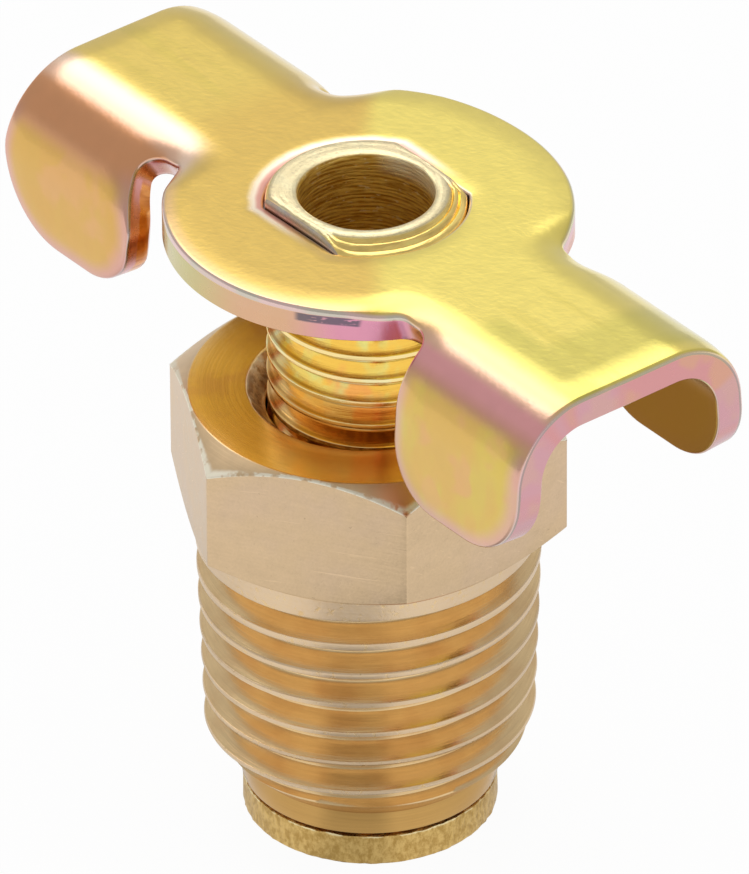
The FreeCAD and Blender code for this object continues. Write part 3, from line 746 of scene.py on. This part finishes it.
def build_body(context):
    """Drawing of the body, from the thread up over the hexagon, down the bore and back under the nose."""
    sizes = in_millimetres(context.scene.petcock_body)
    steps = 180
    corner = sizes.hex_turn + math.radians(30)
    bm = bmesh.new()
    phases = thread_phases(sizes.pipe_pitch, sizes.crest_flat)
    turned = (corner - sizes.runout_azimuth) / (2 * math.pi)
    crest_height = sizes.runout_height + sizes.pipe_pitch * (turned + 0.5)
    helical_skin(
        bm, phases, sizes.pipe_pitch, sizes.pipe_foot, sizes.hex_foot, steps, False, corner, crest_height)
    for vert in bm.verts:
        _, azimuth, height = polar(vert.co)
        vert.co = at(pipe_radius(sizes, azimuth, height), azimuth, height)
    lower, upper = boundary_rows(bm)
    top_slope = math.tan(sizes.top_chamfer)
    foot_slope = math.tan(sizes.foot_chamfer)

    def side(azimuth):
        return hexagon_radius(sizes, azimuth)

    def low(azimuth):
        return sizes.hex_foot + (side(azimuth) - sizes.pipe_radius) * foot_slope

    def high(azimuth):
        return sizes.hex_top - (side(azimuth) - sizes.hex_land) * top_slope

    row = grow(bm, upper, side, low)
    sharp_rows = [row]
    for part in (0.2, 0.4, 0.6, 0.8, 0.98, 1.0):
        row = grow(bm, row, side, lambda a, t=part: low(a) + (high(a) - low(a)) * t)
    sharp_rows.append(row)
    row = grow(bm, row, lambda a: (side(a) + sizes.hex_land) / 2, lambda a: (high(a) + sizes.hex_top) / 2)
    row = grow(bm, row, sizes.hex_land, sizes.hex_top)
    sharp_rows.append(row)
    for radius in (6.4, 5.7, 5.2, sizes.mouth_radius):
        row = grow(bm, row, radius, sizes.hex_top)
    sharp_rows.append(row)
    for share_in, seed in ((0.12, 1), (0.3, 2), (0.5, 3), (0.72, 4), (0.9, 5)):
        reach = sizes.mouth_radius + (sizes.guide_radius - sizes.mouth_radius) * share_in
        level = sizes.hex_top - sizes.mouth_depth * share_in
        row = grow(bm, row, uneven(reach, 0.06, 9, seed), uneven(level, 0.06, 11, seed))
    row = grow(bm, row, sizes.guide_radius, sizes.hex_top - sizes.mouth_depth)
    sharp_rows.append(row)
    for height in (sizes.guide_foot + 3, sizes.guide_foot):
        row = grow(bm, row, sizes.guide_radius, height)
    for height in (sizes.guide_foot - 0.2, 9.0, 5.0):
        row = grow(bm, row, sizes.chamber_radius, height)
    sharp = {edge for edges in sharp_rows for edge in edges}
    for edge in bm.edges:
        middle = (edge.verts[0].co + edge.verts[1].co) / 2
        radius, azimuth, height = polar(middle)
        upright = abs(edge.verts[0].co.z - edge.verts[1].co.z) > 0.1
        if upright and radius > sizes.hex_flats / 2 / math.cos(math.radians(30)) - 1e-3:
            sharp.add(edge)
    nose = lower
    for radius, height in (
            (sizes.nose_radius, sizes.pipe_foot - 0.35), (sizes.nose_radius, sizes.nose_foot + 0.07),
            (sizes.nose_radius - 0.02, sizes.nose_foot + 0.02), (sizes.nose_radius - 0.07, sizes.nose_foot),
            (sizes.chamber_radius + 0.05, sizes.nose_foot), (sizes.chamber_radius, sizes.nose_foot + 0.05)):
        nose = grow(bm, nose, radius, height)
    bmesh.ops.bridge_loops(bm, edges=row + nose)
    bmesh.ops.bevel(
        bm, geom=list(sharp), offset=sizes.edge_round, offset_type="OFFSET", segments=3, affect="EDGES",
        profile=0.5, material=-1, clamp_overlap=True)
    bmesh.ops.recalc_face_normals(bm, faces=bm.faces)
    # Marks the burred edge along the flats' upper edges, which the material paints near white as a painted
    # highlight.
    burr_glint_layer = bm.verts.layers.float.new("burr_glint")
    for vert in bm.verts:
        radius, azimuth, height = polar(vert.co)
        if abs(height - high(azimuth)) < 0.07 and radius > sizes.hex_flats / 2 - 0.08:
            vert[burr_glint_layer] = 1.0
    for face in bm.faces:
        middle = face.calc_center_median()
        upright = sizes.hex_foot < middle.z < sizes.hex_top and abs(face.normal.z) < 0.1
        if upright and math.hypot(middle.x, middle.y) > sizes.hex_flats / 2 - 0.02:
            face.material_index = 1
    set_smooth(bm)
    return bm


# Stem

def stem_cut(sizes, azimuth, height):
    """Depth of the stem's left-handed groove below its crest."""
    position = (height - sizes.crest_height) / sizes.stem_pitch + (azimuth - sizes.crest_azimuth) / (2 * math.pi)
    distance = abs(position - round(position)) * sizes.stem_pitch
    climb = max(0.0, 1 - (sizes.thread_top - height) / 0.6) + max(0.0, 1 - (height - sizes.thread_foot) / 0.5)
    return groove_cut(distance, sizes.crest_flat / 2, sizes.groove_depth, climb)


def build_stem(context):
    """Drawing of the screw, from its thread up to the end and down the bore, then down to the disc."""
    sizes = in_millimetres(context.scene.petcock_stem)
    steps = 144
    bm = bmesh.new()
    phases = thread_phases(sizes.stem_pitch, sizes.crest_flat)
    helical_skin(
        bm, phases, sizes.stem_pitch, sizes.thread_foot, sizes.thread_top, steps, True,
        sizes.crest_azimuth, sizes.crest_height)
    for vert in bm.verts:
        _, azimuth, height = polar(vert.co)
        vert.co = at(sizes.stem_radius - stem_cut(sizes, azimuth, height), azimuth, height)
    lower, upper = boundary_rows(bm)

    def flats(azimuth):
        """Radius of the end with its two flats."""
        return min(sizes.stem_radius, sizes.flats_half / (abs(math.sin(azimuth)) + 1e-9))

    def stepped(azimuth):
        """1 where the staked end steps down, on the side of the short arm, else 0."""
        return eased((math.cos(azimuth) - 0.35) / 0.35)

    top = sizes.stem_top

    def end_row(inward, drop, step):
        """The next row of the upper end: share of the way to the bore, and depth off and on the step."""
        def radius(azimuth):
            wall = flats(azimuth)
            return wall - (wall - sizes.bore_radius) * inward

        def height(azimuth):
            share_down = stepped(azimuth)
            wander = uneven(0, 0.018 if inward < 0.9 else 0.0, 12, inward * 5)(azimuth)
            return top - drop * (1 - share_down) - step * share_down + min(0.0, wander)
        return grow(bm, row, radius, height)

    row = grow(bm, upper, sizes.stem_radius, sizes.wing_foot)
    row = grow(bm, row, flats, sizes.wing_foot + 0.02)
    row = grow(bm, row, flats, top - 1.2)
    for inward, drop, step in (
            (0.0, 0.32, 0.66), (0.03, 0.22, 0.58), (0.08, 0.12, 0.52), (0.15, 0.06, 0.48), (0.22, 0.03, 0.46),
            (0.25, 0.02, 0.51), (0.28, 0.02, 0.46), (0.30, 0.01, 0.36), (0.36, 0.01, 0.28), (0.42, 0.01, 0.26),
            (0.45, 0.01, 0.30), (0.48, 0.01, 0.22), (0.52, 0.005, 0.11), (0.60, 0.0, 0.03), (0.75, 0.0, 0.0),
            (0.90, 0.02, 0.02), (0.96, 0.07, 0.07), (0.99, 0.15, 0.15), (1.0, 0.30, 0.30)):
        row = end_row(inward, drop, step)
    for height in (27.6, 26.8, 25.5, 22, 18, sizes.bore_floor):
        row = grow(bm, row, sizes.bore_radius, height)
    row = grow(bm, row, sizes.drill_radius, sizes.bore_floor - (sizes.bore_radius - sizes.drill_radius) * 0.6)
    for height in (10, 8, 6.6, sizes.drill_floor):
        row = grow(bm, row, sizes.drill_radius, height)
    close_row(bm, row, sizes.drill_floor - sizes.drill_radius * 0.6)

    row = grow(bm, lower, sizes.stem_radius, sizes.shank_foot + 0.05)
    row = grow(bm, row, sizes.neck_radius, sizes.shank_foot - (sizes.stem_radius - sizes.neck_radius))
    collar_top = sizes.collar_foot + sizes.collar_height
    for height in (8, 6.7, 5.4, 4.1):
        row = grow(bm, row, sizes.neck_radius, height)
    for radius, height in (
            (sizes.neck_radius, collar_top), (sizes.collar_radius - 0.05, collar_top),
            (sizes.collar_radius, collar_top - 0.05), (sizes.collar_radius, sizes.collar_foot + 0.05),
            (sizes.collar_radius - 0.05, sizes.collar_foot), (sizes.neck_radius, sizes.collar_foot),
            (sizes.neck_radius, sizes.disc_height)):
        row = grow(bm, row, radius, height)
    rim = sizes.disc_radius
    for radius, height in (
            (uneven(rim - 0.10, 0.02, 9, 1), uneven(sizes.disc_height - 0.02, 0.03, 12, 8)),
            (uneven(rim - 0.02, 0.05, 14, 2), uneven(sizes.disc_height - 0.05, 0.04, 13, 9)),
            (uneven(rim, 0.03, 12, 3), sizes.disc_height - 0.16), (uneven(rim, 0.02, 9, 4), 0.9),
            (uneven(rim, 0.02, 9, 5), 0.5), (uneven(rim, 0.03, 12, 6), 0.16),
            (uneven(rim - 0.03, 0.05, 14, 7), 0.05), (rim - 0.12, 0.0), (2.5, 0.0)):
        row = grow(bm, row, radius, height)
    close_row(bm, row, 0.0)
    bmesh.ops.recalc_face_normals(bm, faces=bm.faces)
    drill = bmesh.new()
    across = Matrix.Translation((0, 0, sizes.drain_height)) @ Matrix.Rotation(math.radians(90), 4, "Y")
    bmesh.ops.create_cone(
        drill, cap_ends=True, segments=48, radius1=sizes.drain_radius, radius2=sizes.drain_radius,
        depth=sizes.neck_radius * 2 + 2, matrix=across)
    bm = drilled(bm, drill)
    set_smooth(bm)
    return bm


# Wing

def arc(centre, radius, first, last, count):
    """Points along a circle, angles in degrees."""
    spread = [math.radians(first + (last - first) * i / count) for i in range(count + 1)]
    return [Vector((centre[0] + radius * math.cos(a), centre[1] + radius * math.sin(a))) for a in spread]


def run(points, spacing):
    """Even points along a polyline, without its last one."""
    made = []
    for first, last in zip(points, points[1:]):
        count = max(1, round((last - first).length / spacing))
        made += [first.lerp(last, i / count) for i in range(count)]
    return made


# The four ears differ a little. Each has the reach of its arm, where the ear starts, its span from
# the arm's middle line, its outer and inner corner, where the relief beside the disc ends, the flat
# half of the arm, the outside radius of the bend, how far the disc stands out there, and how far
# the relief cuts into the ear. They are found by the signs of X and Y
Ear = collections.namedtuple("Ear", "reach start span outer inner low flat_half bend_radius bulge wider")
EARS = {
    (1, -1): Ear(16.00, 8.50, 10.90, 3.0, 2.55, 3.85, 2.20, 3.39, 0.0, 0.0),
    (-1, -1): Ear(16.18, 8.08, 10.35, 3.7, 2.45, 3.85, 1.75, 3.84, 0.0, 0.85),
    (1, 1): Ear(16.00, 8.50, 11.10, 3.0, 2.55, 4.20, 2.42, 3.47, 0.20, 0.0),
    (-1, 1): Ear(16.18, 8.50, 10.90, 3.2, 2.55, 4.30, 2.42, 3.47, 0.42, 0.0),
}


def quarter_outline(sizes, ear):
    """Flat outline of one quarter, from the arm's end round to the disc's side."""
    reach, start, span, outer, inner, low, _, _, bulge, wider = ear
    relief, fillet, disc = 0.75 + 0.3 * wider, 0.60, sizes.disc_radius + bulge
    end_corner = arc((reach - outer, span - outer), outer, 0, 90, 20)
    corner, hollow = Vector((start + inner, span - inner)), Vector((start + wider - relief, low + relief))
    apart = corner - hollow
    lean = math.degrees(math.atan2(apart.y, apart.x) - math.acos((inner + relief) / apart.length))
    disc_corner = arc(corner, inner, 90, 180 + lean, 16)
    relief_arc = arc(hollow, relief, lean, -90, 11)
    middle = math.sqrt((disc + fillet) ** 2 - (low + fillet) ** 2)
    meet = math.degrees(math.atan2(low + fillet, middle))
    fillet_arc = arc((middle, low + fillet), fillet, -90, meet - 180, 6)
    side = arc((0, 0), disc, meet, 90, 34)[1:]
    for point in side:
        done = (math.degrees(math.atan2(point.y, point.x)) - meet) / (90 - meet)
        point *= 1 - bulge / disc * eased(done)
    crown = [Vector((reach, 0)), Vector((reach - 0.02, (span - outer) * 0.6)), end_corner[0]]
    return run(crown, 0.3) + end_corner[:-1] + run([end_corner[-1], disc_corner[0]], 0.25) + disc_corner[:-1] + \
        run([disc_corner[-1], relief_arc[0]], 0.25) + relief_arc[:-1] + \
        run([relief_arc[-1], fillet_arc[0]], 0.2) + fillet_arc + side


def wing_outline(sizes):
    """The whole flat outline, quarter by quarter."""
    outline = []
    for along, across in ((1, 1), (-1, 1), (-1, -1), (1, -1)):
        quarter = [Vector((p.x * along, p.y * across)) for p in quarter_outline(sizes, EARS[along, across])]
        outline += quarter if along == across else quarter[::-1]
    return outline


def hole_outline(sizes):
    """The stem's hole: a circle with two flats."""
    flat_at = math.degrees(math.asin(sizes.hole_half / sizes.hole_radius))
    right = arc((0, 0), sizes.hole_radius, -flat_at, flat_at, 40)
    left = [-p for p in right]
    return run([right[0], right[0]], 1) + right[:-1] + run([right[-1], left[0]], 0.25) + left[:-1] + \
        run([left[-1], right[0]], 0.25)


def bent(sizes, along, across, depth):
    """Place of a point of the flat sheet once the arms are formed, and how far it has turned."""
    side = 1 if across >= 0 else -1
    ear = EARS[1 if along >= 0 else -1, side]
    swing = sizes.bend_angle
    off = abs(across)
    turn = min(max((off - ear.flat_half) / ear.bend_radius, 0), swing)
    straight = max(off - ear.flat_half - ear.bend_radius * swing, 0)
    radius = ear.bend_radius - depth
    y = min(off, ear.flat_half) + radius * math.sin(turn) + straight * math.cos(turn)
    z = -depth - radius * (1 - math.cos(turn)) - straight * math.sin(turn)
    formed = eased((abs(along) - sizes.form_start) / (sizes.form_end - sizes.form_start))
    place = Vector((along, side * (off + (y - off) * formed), sizes.wing_top - depth + (z + depth) * formed))
    return place, turn / swing * formed


def sloped(rim, width, drop, roll):
    """Depth of the top face at a distance from a cut edge: a wide slope and a small roll-over."""
    wide = max(0.0, 1 - rim / width)
    near = max(0.0, 1 - rim / roll)
    return drop * wide * wide + roll * (1 - math.sqrt(max(0.0, 1 - near * near)))


def build_wing(context):
    """Drawing of the wing: the flat sheet with its layers, then every point bent to its place.

    The layers tell the material where a point lay in the flat sheet: along the arms and across them,
    from the nearest cut edge, into the sheet, and how far its part of the sheet has turned.
    """
    sizes = in_millimetres(context.scene.petcock_wing)
    bm = bmesh.new()
    rim_layer, depth_layer, along_layer, across_layer, turn_layer = (
        bm.verts.layers.float.new(name) for name in ("rim", "depth", "along", "across", "turn"))
    loops = []
    for outline in (wing_outline(sizes), hole_outline(sizes)):
        verts = [bm.verts.new((p.x, p.y, 0)) for p in outline]
        bmesh.ops.remove_doubles(bm, verts=verts, dist=0.03)
        verts = [v for v in verts if v.is_valid]
        loops += [bm.edges.new(pair) for pair in zip(verts, verts[1:] + verts[:1])]
    bmesh.ops.triangle_fill(bm, use_beauty=True, use_dissolve=False, edges=loops, normal=(0, 0, 1))
    bmesh.ops.bisect_plane(
        bm, geom=bm.verts[:] + bm.edges[:] + bm.faces[:], dist=1e-5, plane_co=(0, 0, 0), plane_no=(0, 1, 0))
    inner = [e for e in bm.edges if not e.is_boundary and abs(e.verts[0].co.y) + abs(e.verts[1].co.y) > 1e-6]
    bmesh.ops.dissolve_edges(bm, edges=inner, use_verts=False, use_face_split=False)
    seam = [v for v in bm.verts if not v.is_boundary and abs(v.co.y) < 1e-3]
    bmesh.ops.dissolve_verts(bm, verts=seam)
    many = 40                                       # only the sheet's large faces have more corners
    rim = 0.0
    for step in (0.015, 0.03, 0.045, 0.06, 0.07, 0.14, 0.20, 0.24, 0.26, 0.26):
        bmesh.ops.inset_region(
            bm, faces=[f for f in bm.faces if len(f.verts) > many], thickness=step, depth=0.0, use_boundary=True,
            use_even_offset=True)
        rim += step
        for face in bm.faces:
            if len(face.verts) > many:
                for vert in face.verts:
                    vert[rim_layer] = rim
    main_faces = [f for f in bm.faces if len(f.verts) > many]
    planes = [("x", i * 0.5) for i in range(-32, 33)] + [("y", i * 0.35) for i in range(-32, 33) if i]
    for axis, level in planes:
        geometry = list({item for f in main_faces if f.is_valid for item in (*f.verts, *f.edges, f)})
        normal = (1, 0, 0) if axis == "x" else (0, 1, 0)
        point = (level, 0, 0) if axis == "x" else (0, level, 0)
        cut = bmesh.ops.bisect_plane(bm, geom=geometry, dist=1e-5, plane_co=point, plane_no=normal)
        fresh = [item for item in cut["geom"] if isinstance(item, bmesh.types.BMFace)]
        main_faces = list(set(fresh))
    border = {v for f in bm.faces if f not in set(main_faces) for v in f.verts}
    for face in main_faces:
        for vert in face.verts:
            if vert not in border:
                vert[rim_layer] = rim + 1
            elif vert[rim_layer] < rim:
                vert[rim_layer] = rim
    made = bmesh.ops.extrude_face_region(bm, geom=bm.faces[:], use_keep_orig=True)["geom"]
    for item in made:
        if isinstance(item, bmesh.types.BMVert):
            item[depth_layer] = 1.0
    walls = [e for e in bm.edges if abs(e.verts[0][depth_layer] - e.verts[1][depth_layer]) > 0.5]
    bmesh.ops.subdivide_edges(bm, edges=walls, cuts=4, use_grid_fill=True)
    foot_round = 0.06
    for vert in bm.verts:
        share_deep = vert[depth_layer]
        along, across = vert.co.x, vert.co.y
        from_edge = vert[rim_layer]
        out = math.hypot(along, across)
        if out < 5.5:
            facing = 0.5 - (along * 0.97 + across * 0.24) / out / 2
            width, drop, roll = 0.7, sizes.hole_drop * (0.25 + 0.75 * facing * facing), 0.10
        else:
            arm = min(1.0, max(0.0, (abs(along) - 4.0) / 3.0))
            width, drop, roll = sizes.crown_width, sizes.crown_drop * (0.35 + 0.65 * arm), sizes.rim_round
        top_depth = sloped(from_edge, width, drop, roll)
        if share_deep <= 0.0:
            depth = top_depth
        elif share_deep >= 1.0:
            depth = sizes.sheet - foot_round * max(0.0, 1 - from_edge / foot_round)
        else:
            depth = top_depth + (sizes.sheet - foot_round - top_depth) * share_deep
        vert[along_layer] = along
        vert[across_layer] = across
        vert[depth_layer] = depth / sizes.sheet
        vert.co, vert[turn_layer] = bent(sizes, along, across, depth)
    bmesh.ops.recalc_face_normals(bm, faces=bm.faces)
    set_smooth(bm)
    return bm


# Operators and stage

class PETCOCK_OT_body(bpy.types.Operator):
    """Add the brass body with its pipe thread and hexagon"""
    bl_idname = "petcock.body"
    bl_label = "Valve body"

    def execute(self, context):
        finished(
            build_body(context), "petcock_body", "body", "valve_body", "body_brass",
            turned_brass(context), milled_brass(context))
        return {"FINISHED"}


class PETCOCK_OT_stem(bpy.types.Operator):
    """Add the hollow screw with the valve disc on its foot"""
    bl_idname = "petcock.stem"
    bl_label = "Stem"

    def execute(self, context):
        finished(build_stem(context), "petcock_stem", "screw", "stem", "stem_brass", stem_brass(context))
        return {"FINISHED"}


class PETCOCK_OT_wing(bpy.types.Operator):
    """Add the pressed steel wing"""
    bl_idname = "petcock.wing"
    bl_label = "Wing handle"

    def execute(self, context):
        finished(
            build_wing(context), "petcock_wing", "screw", "wing_handle", "yellow_zinc_steel",
            yellow_chromate(context))
        return {"FINISHED"}


class PETCOCK_OT_seal(bpy.types.Operator):
    """Give the seal ring its rubber"""
    bl_idname = "petcock.seal"
    bl_label = "Seal ring"

    def execute(self, context):
        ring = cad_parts["seal_ring"]
        ring.data.materials.clear()
        ring.data.materials.append(seal_rubber(context))
        return {"FINISHED"}


def add_camera(context, stage):
    """Camera that looks at a point near the axis from the stage's azimuth and elevation."""
    azimuth, elevation, roll = stage.view_azimuth, stage.view_elevation, stage.view_roll
    forward = Vector((
        -math.sin(azimuth) * math.cos(elevation), math.cos(azimuth) * math.cos(elevation), -math.sin(elevation)))
    level = Vector((math.cos(azimuth), math.sin(azimuth), 0))
    upward = level.cross(forward)
    right = level * math.cos(roll) + upward * math.sin(roll)
    up = upward * math.cos(roll) - level * math.sin(roll)
    aim = level * stage.aim_side + Vector((0, 0, stage.aim_height))
    camera = bpy.data.objects.new("camera", bpy.data.cameras.new("camera"))
    place = Matrix((right, up, -forward)).transposed().to_4x4()
    place.translation = aim - forward * stage.view_distance
    camera.matrix_world = place
    camera.data.lens = stage.view_lens
    camera.data.sensor_width = 36.0
    camera.data.clip_start = 0.05
    camera.data.clip_end = 20.0
    context.scene.collection.objects.link(camera)
    context.scene.camera = camera


# The world's light: a base, and boxes given by direction in degrees, half angles where the box is
# full and where it ends, and strength
WORLD_BASE = 0.55
SOFT_BOXES = (
    (246.0, 60.5, 20.0, 30.0, 1.55),
    (231.5, 33.5, 22.0, 45.0, 0.18),
    (317.0, 2.0, 6.0, 20.0, 0.28),
)
# What metal sees of the floor: zones given by azimuth, half angles and how much darker
FLOOR_ZONES = (
    (42.0, 8.0, 27.0, 0.52),
    (148.0, 15.0, 60.0, 0.15),
    (-58.0, 15.0, 40.0, 0.17),
)


def outward(azimuth, elevation):
    """Direction from the petcock to an azimuth and elevation, measured as the camera's are."""
    a, e = math.radians(azimuth), math.radians(elevation)
    return Vector((math.sin(a) * math.cos(e), -math.cos(a) * math.cos(e), math.sin(e)))


def floor_material(white):
    """Matt white floor that shows as white, keeps a shadow, and is darker to metal close by."""
    g = Graph("floor_white")
    spot, x, y, _ = g.place()
    grain = g.noise(spot, 0.3, 2.0, 0.5)
    tone = white + (grain - 0.5) * 0.01
    matt = g.node("ShaderNodeBsdfDiffuse", values={"Color": g.vector(tone, tone, tone)})
    away = g.math("SQRT", x * x + y * y)
    near = 1 - g.rise(away, 14.0, 45.0)
    seen = 1 - (1 - g.rise(away, 6.0, 26.0)) * 0.08
    near = near * (0.45 + 0.55 * g.rise(away, 7.0, 12.0))
    heading = g.vector_math("NORMALIZE", g.vector(x, y, 0.0))
    for azimuth, inner, outer, darker in FLOOR_ZONES:
        facing = g.vector_math("DOT_PRODUCT", heading, tuple(outward(azimuth, 0.0)), output="Value")
        zone = g.rise(facing, math.cos(math.radians(outer)), math.cos(math.radians(inner)))
        seen = seen - zone * near * darker
    camera = g.node("ShaderNodeLightPath", output="Is Camera Ray")
    glossy = Value(g, camera.socket.node.outputs["Is Glossy Ray"])
    glow = g.node("ShaderNodeEmission", values={"Color": (1, 1, 1, 1), "Strength": camera + glossy * seen})
    g.show(g.node("ShaderNodeMixShader", values={0: camera * 0.955 + glossy * 0.92, 1: matt, 2: glow}))
    return g.material


def set_world(context):
    """White surroundings with soft boxes: a direction's light is a base plus each box's share."""
    world = bpy.data.worlds.new("studio")
    world.use_nodes = True
    g = Graph(world)
    toward = g.node("ShaderNodeTexCoord", output="Generated")
    light = WORLD_BASE
    for azimuth, elevation, inner, outer, strength in SOFT_BOXES:
        facing = g.vector_math("DOT_PRODUCT", toward, tuple(outward(azimuth, elevation)), output="Value")
        light = light + g.rise(facing, math.cos(math.radians(outer)), math.cos(math.radians(inner))) * strength
    camera = g.node("ShaderNodeLightPath", output="Is Camera Ray")
    light = light * (1 - camera) + camera
    background = g.node("ShaderNodeBackground", values={"Color": g.vector(light, light, light), "Strength": 1.0})
    g.show(background, "ShaderNodeOutputWorld")
    context.scene.world = world


class PETCOCK_OT_stage(bpy.types.Operator):
    """Add the floor, the white surroundings with their soft boxes, and the camera"""
    bl_idname = "petcock.stage"
    bl_label = "Stage"

    def execute(self, context):
        stage = context.scene.petcock_stage
        bm = bmesh.new()
        bmesh.ops.create_grid(bm, x_segments=1, y_segments=1, size=1.5)
        mesh = bpy.data.meshes.new("floor")
        bm.to_mesh(mesh)
        bm.free()
        mesh.materials.append(floor_material(stage.floor_white))
        floor = bpy.data.objects.new("floor", mesh)
        context.scene.collection.objects.link(floor)
        set_world(context)
        add_camera(context, stage)
        context.scene.view_settings.view_transform = "Standard"
        return {"FINISHED"}


class PETCOCK_PT_panel(bpy.types.Panel):
    """Petcock's pieces in the sidebar"""
    bl_idname = "PETCOCK_PT_panel"
    bl_label = "Drain petcock"
    bl_space_type = "VIEW_3D"
    bl_region_type = "UI"
    bl_category = "Petcock"

    def draw(self, context):
        layout = self.layout
        for operator in (PETCOCK_OT_body, PETCOCK_OT_stem, PETCOCK_OT_wing, PETCOCK_OT_seal, PETCOCK_OT_stage):
            layout.operator(operator.bl_idname)
        for name in GROUPS:
            group = getattr(context.scene, name)
            box = layout.box()
            for setting in group.__annotations__:
                box.prop(group, setting)


GROUPS = {
    "petcock_body": PetcockBodySizes,
    "petcock_stem": PetcockStemSizes,
    "petcock_wing": PetcockWingSizes,
    "petcock_finish": PetcockFinish,
    "petcock_stage": PetcockStage,
}
CLASSES = (
    *GROUPS.values(), PETCOCK_OT_body, PETCOCK_OT_stem, PETCOCK_OT_wing, PETCOCK_OT_seal, PETCOCK_OT_stage,
    PETCOCK_PT_panel,
)


def register():
    """Registers the classes and hangs their settings on the scene."""
    for made in CLASSES:
        bpy.utils.register_class(made)
    for name, group in GROUPS.items():
        setattr(bpy.types.Scene, name, bpy.props.PointerProperty(type=group))


def unregister():
    """Takes off what register added."""
    for name in GROUPS:
        delattr(bpy.types.Scene, name)
    for made in reversed(CLASSES):
        bpy.utils.unregister_class(made)


def main():
    """Builds the petcock and its stage."""
    register()
    bpy.ops.petcock.body()
    bpy.ops.petcock.stem()
    bpy.ops.petcock.wing()
    bpy.ops.petcock.seal()
    bpy.ops.petcock.stage()


if __name__ == "__main__":
    main()
